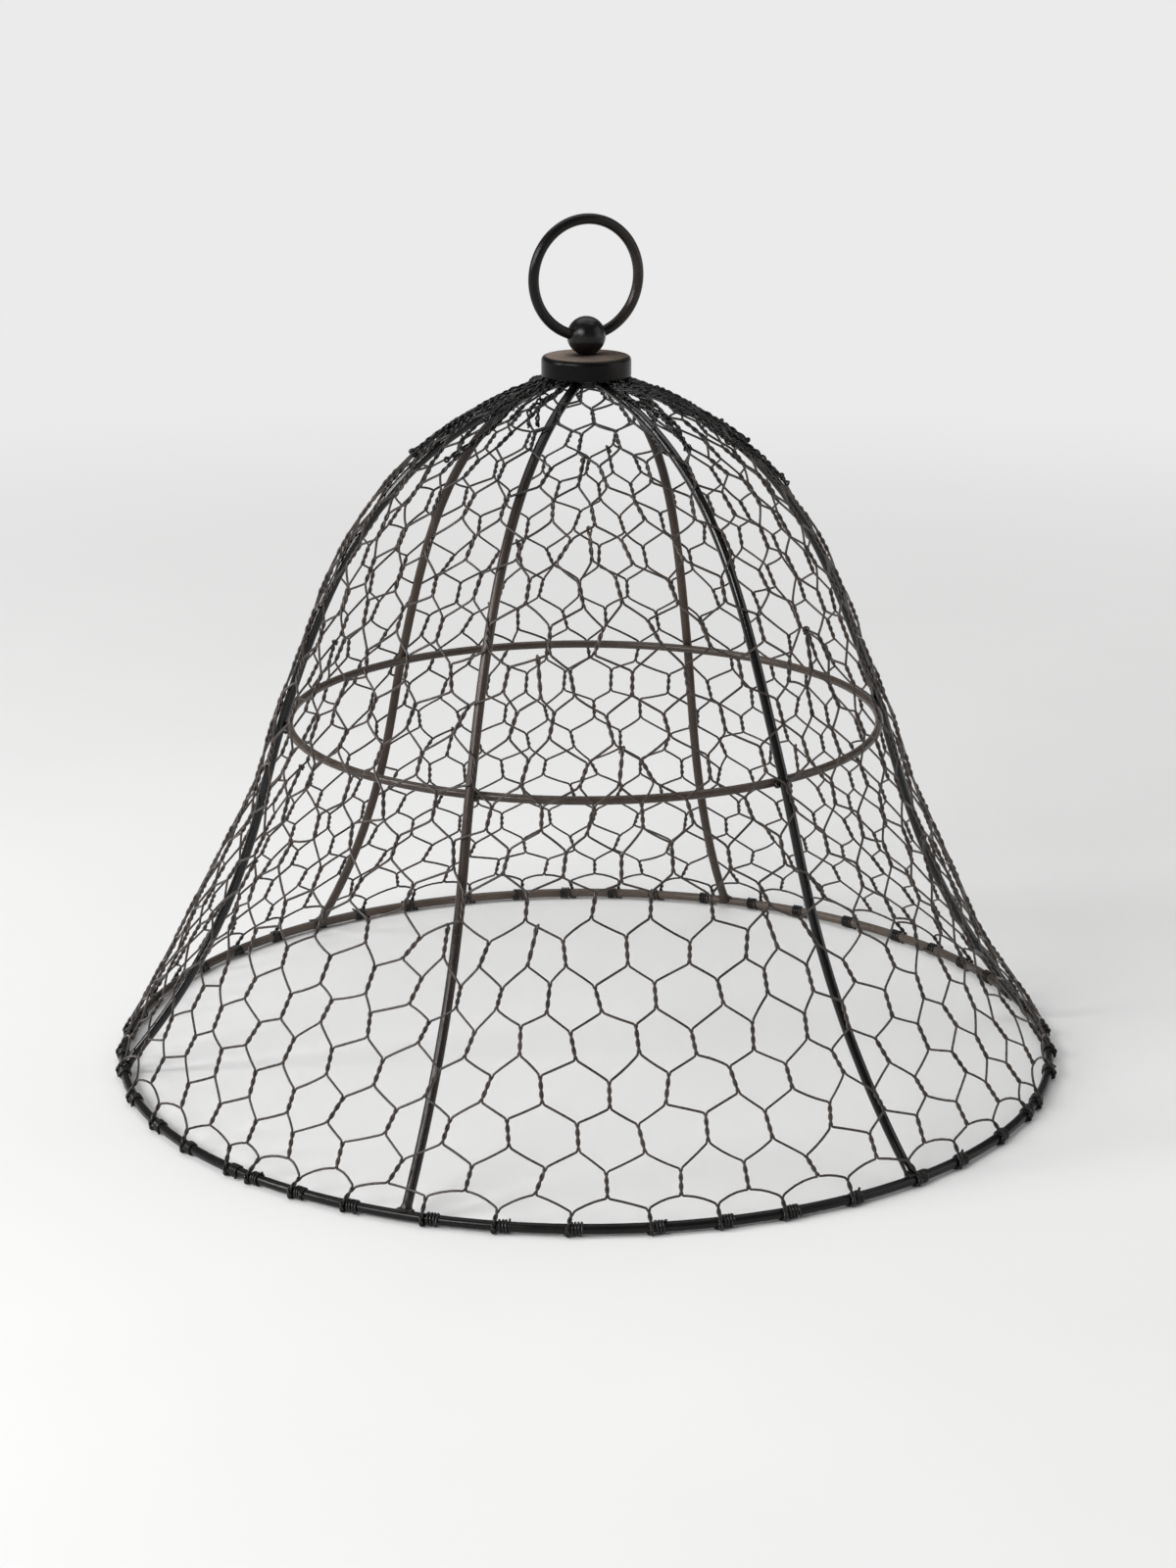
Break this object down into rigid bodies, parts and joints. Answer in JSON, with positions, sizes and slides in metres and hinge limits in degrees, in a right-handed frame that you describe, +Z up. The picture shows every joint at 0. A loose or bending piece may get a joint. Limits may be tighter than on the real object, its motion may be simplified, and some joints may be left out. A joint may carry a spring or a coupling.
{
  "type": "wire cloche",
  "caption": "Bell-shaped garden cloche of black steel rod covered in hexagonal wire netting, open below, with a cap, ball and ring handle on top.",
  "frame": {"origin": "on the floor under the centre of the bell", "axes": "+Z up along the bell's axis, -Y towards the front as pictured, +X to its right"},
  "size_m": [0.4072, 0.4072, 0.3593],
  "materials": {
    "rod": "satin black",
    "netting": "dark brown-black over galvanised wire",
    "cap": "satin brown-black",
    "handle": "satin black",
    "fixings": "zinc"
  },
  "bodies": {
    "root": {"base_ring": "rod", "middle_hoop": "rod", "rib_1": "rod", "rib_2": "rod", "rib_3": "rod", "rib_4": "rod", "rib_5": "rod", "rib_6": "rod", "rib_boss": "rod", "top_cap": "cap", "top_screw": "fixings", "screw_washer": "fixings", "finial_ball": "handle", "ring_handle": "handle", "netting_panel_1": "netting", "netting_panel_2": "netting", "netting_panel_3": "netting"}
  },
  "joints": []
}
